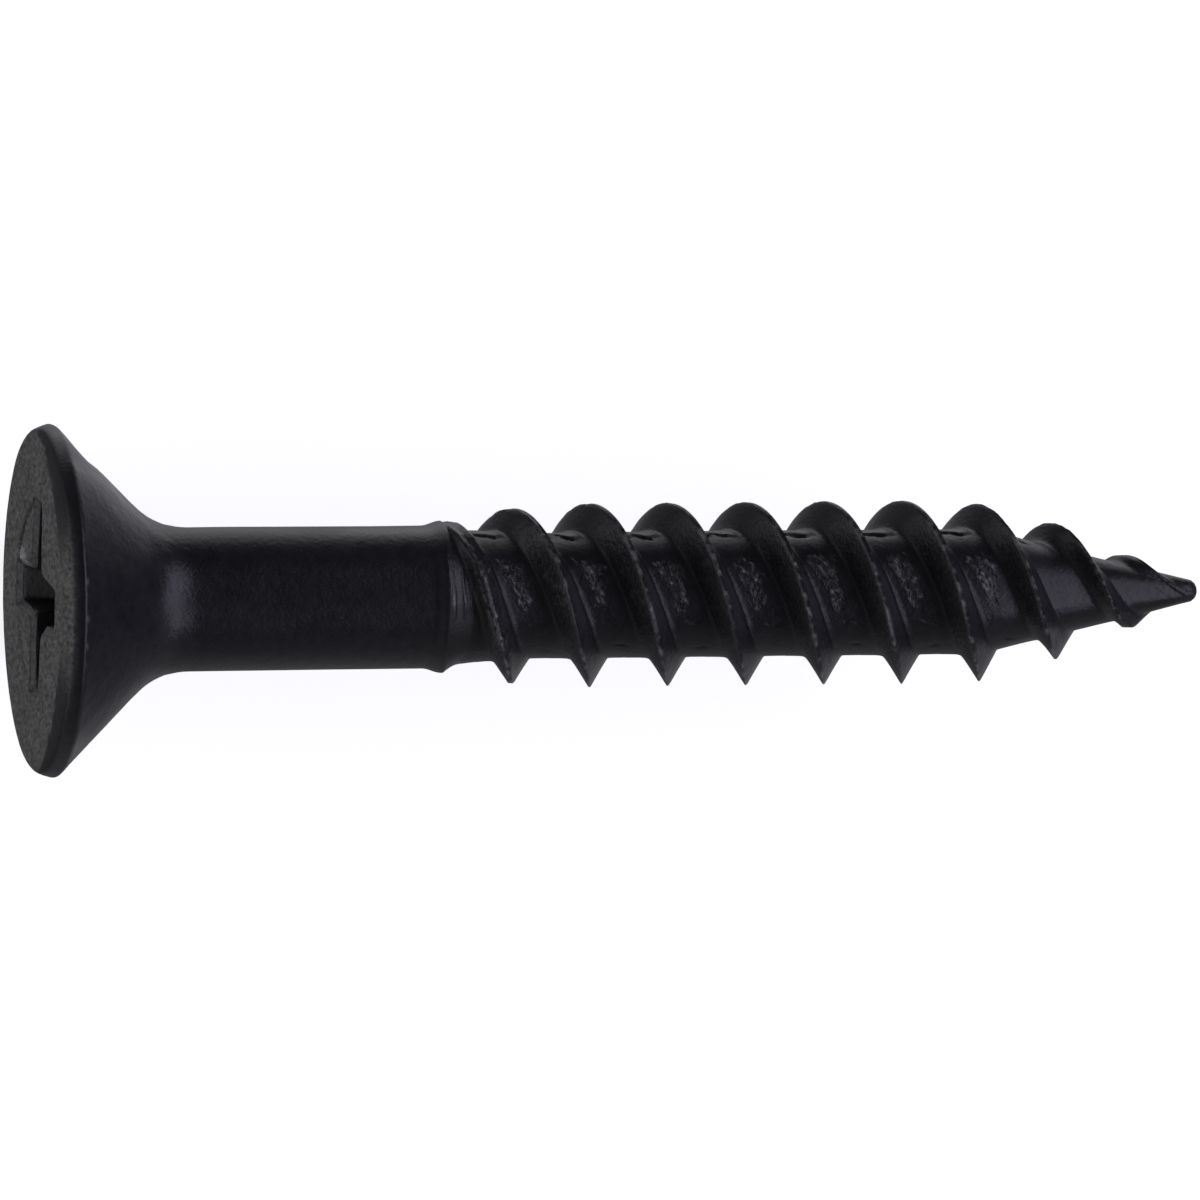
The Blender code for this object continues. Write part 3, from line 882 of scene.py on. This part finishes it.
def stage_piece(name, verts, faces):
    """A pale sheet of the studio, which neither tints the screw nor shows in its gloss."""
    mesh = bpy.data.meshes.new(name)
    mesh.from_pydata(verts, [], faces)
    sheet = bpy.data.objects.new(name, mesh)
    bpy.context.scene.collection.objects.link(sheet)
    material = bpy.data.materials.new(name + "_paper")
    material.use_nodes = True
    shader = material.node_tree.nodes["Principled BSDF"]
    shader.inputs["Base Color"].default_value = PAPER_COLOUR
    shader.inputs["Roughness"].default_value = PAPER_ROUGHNESS
    shader.inputs["Specular IOR Level"].default_value = 0.0
    shader.inputs["Emission Color"].default_value = PAPER_GLOW
    shader.inputs["Emission Strength"].default_value = PAPER_GLOW_STRENGTH
    mesh.materials.append(material)
    sheet.visible_glossy = False
    sheet.visible_diffuse = False
    return sheet


def smooth_range(tree, source, low, high, to_low, to_high):
    """A node that carries a value smoothly from one range to another."""
    node = tree.nodes.new("ShaderNodeMapRange")
    node.interpolation_type = "SMOOTHSTEP"
    tree.links.new(source, node.inputs["Value"])
    limits = {"From Min": low, "From Max": high, "To Min": to_low, "To Max": to_high}
    for name, value in limits.items():
        node.inputs[name].default_value = value
    return node.outputs["Result"]


def arithmetic(tree, operation, first, second):
    """A math node of two inputs, each a socket or a number."""
    node = tree.nodes.new("ShaderNodeMath")
    node.operation = operation
    for place, value in enumerate((first, second)):
        if isinstance(value, (int, float)):
            node.inputs[place].default_value = value
        else:
            tree.links.new(value, node.inputs[place])
    return node.outputs["Value"]


def product(tree, *factors):
    """All the factors multiplied together, in nodes."""
    total = factors[0]
    for factor in factors[1:]:
        total = arithmetic(tree, "MULTIPLY", total, factor)
    return total


def add_world():
    """A dim room: how bright it is in each direction, as pale walls that fade into each other."""
    world = bpy.data.worlds.new("studio")
    bpy.context.scene.world = world
    world.use_nodes = True
    tree = world.node_tree
    place = tree.nodes.new("ShaderNodeTexCoord")
    split = tree.nodes.new("ShaderNodeSeparateXYZ")
    tree.links.new(place.outputs["Generated"], split.inputs["Vector"])
    x, y, z = split.outputs["X"], split.outputs["Y"], split.outputs["Z"]

    # all round, below the horizon, brightest towards +Y
    low = smooth_range(tree, z, -0.02, -0.74, 0.0, 1.0)
    around_it = product(tree, smooth_range(tree, y, -0.2, 0.25, 0.17, 0.36),
                        smooth_range(tree, x, 0.0, -0.35, 1.0, 0.35))
    plus_y = product(tree, smooth_range(tree, y, 0.40, 0.80, 0.0, 0.90),
                     smooth_range(tree, x, -0.65, -0.15, 0.1, 1.0))
    wall = product(tree, low, arithmetic(tree, "ADD", around_it, plus_y))

    # low down past the point, and what the cone's +Y side sees
    point_end = product(tree, smooth_range(tree, x, 0.15, 0.45, 0.0, 0.25),
                        smooth_range(tree, z, -0.60, -0.90, 0.0, 1.0))
    wall = arithmetic(tree, "ADD", wall, point_end)
    cone_side = product(tree, smooth_range(tree, x, 0.30, 0.50, 0.0, 0.30),
                        smooth_range(tree, y, 0.15, 0.30, 0.0, 1.0),
                        smooth_range(tree, z, -0.50, -0.65, 0.0, 1.0))
    wall = arithmetic(tree, "ADD", wall, cone_side)

    # a tall wall towards -Y, and one in front of the head with a bright band at its height
    minus_y = product(tree, smooth_range(tree, y, -0.25, -0.65, 0.0, 0.235),
                      smooth_range(tree, z, 0.80, -0.45, 0.0, 1.0))
    wall = arithmetic(tree, "MAXIMUM", wall, minus_y)
    head_wall = product(tree, smooth_range(tree, x, -0.50, -0.90, 0.0, 1.0),
                        smooth_range(tree, z, -0.50, -0.12, 0.1, 1.0),
                        smooth_range(tree, z, 0.15, 0.45, 1.0, 0.0),
                        smooth_range(tree, y, -0.80, -0.45, 0.3, 1.0),
                        smooth_range(tree, y, 0.35, 0.65, 1.0, 0.05))
    wall = arithmetic(tree, "MAXIMUM", wall, head_wall)

    ceiling = product(tree, smooth_range(tree, z, -0.1, 0.3, 0.0, 1.0),
                      smooth_range(tree, x, -0.2, -0.8, 0.05, 0.18))
    background = tree.nodes["Background"]
    background.inputs["Color"].default_value = ROOM_COLOUR
    tree.links.new(arithmetic(tree, "ADD", wall, ceiling), background.inputs["Strength"])


def add_panel():
    """A soft panel above the point's side, with its long side along Y."""
    data = bpy.data.lights.new("panel_point_side", "AREA")
    data.shape = "RECTANGLE"
    data.size, data.size_y = PANEL_ALONG_Y, PANEL_ACROSS
    data.energy = PANEL_RADIANCE * math.pi * PANEL_ALONG_Y * PANEL_ACROSS
    data.color = PANEL_COLOUR
    light = bpy.data.objects.new("panel_point_side", data)
    direction = Vector((math.sin(PANEL_LEAN), 0, math.cos(PANEL_LEAN)))
    light.location = direction * PANEL_DISTANCE
    light.rotation_euler = direction.to_track_quat("Z", "Y").to_euler()
    bpy.context.scene.collection.objects.link(light)


def main():
    add_camera()
    screw = screw_piece()
    screw.data.materials.append(steel_material())
    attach(screw, "root")
    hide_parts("screw")
    add_floor()
    add_backdrop()
    add_world()
    add_panel()
    bpy.context.scene.view_settings.view_transform = "Standard"


main()
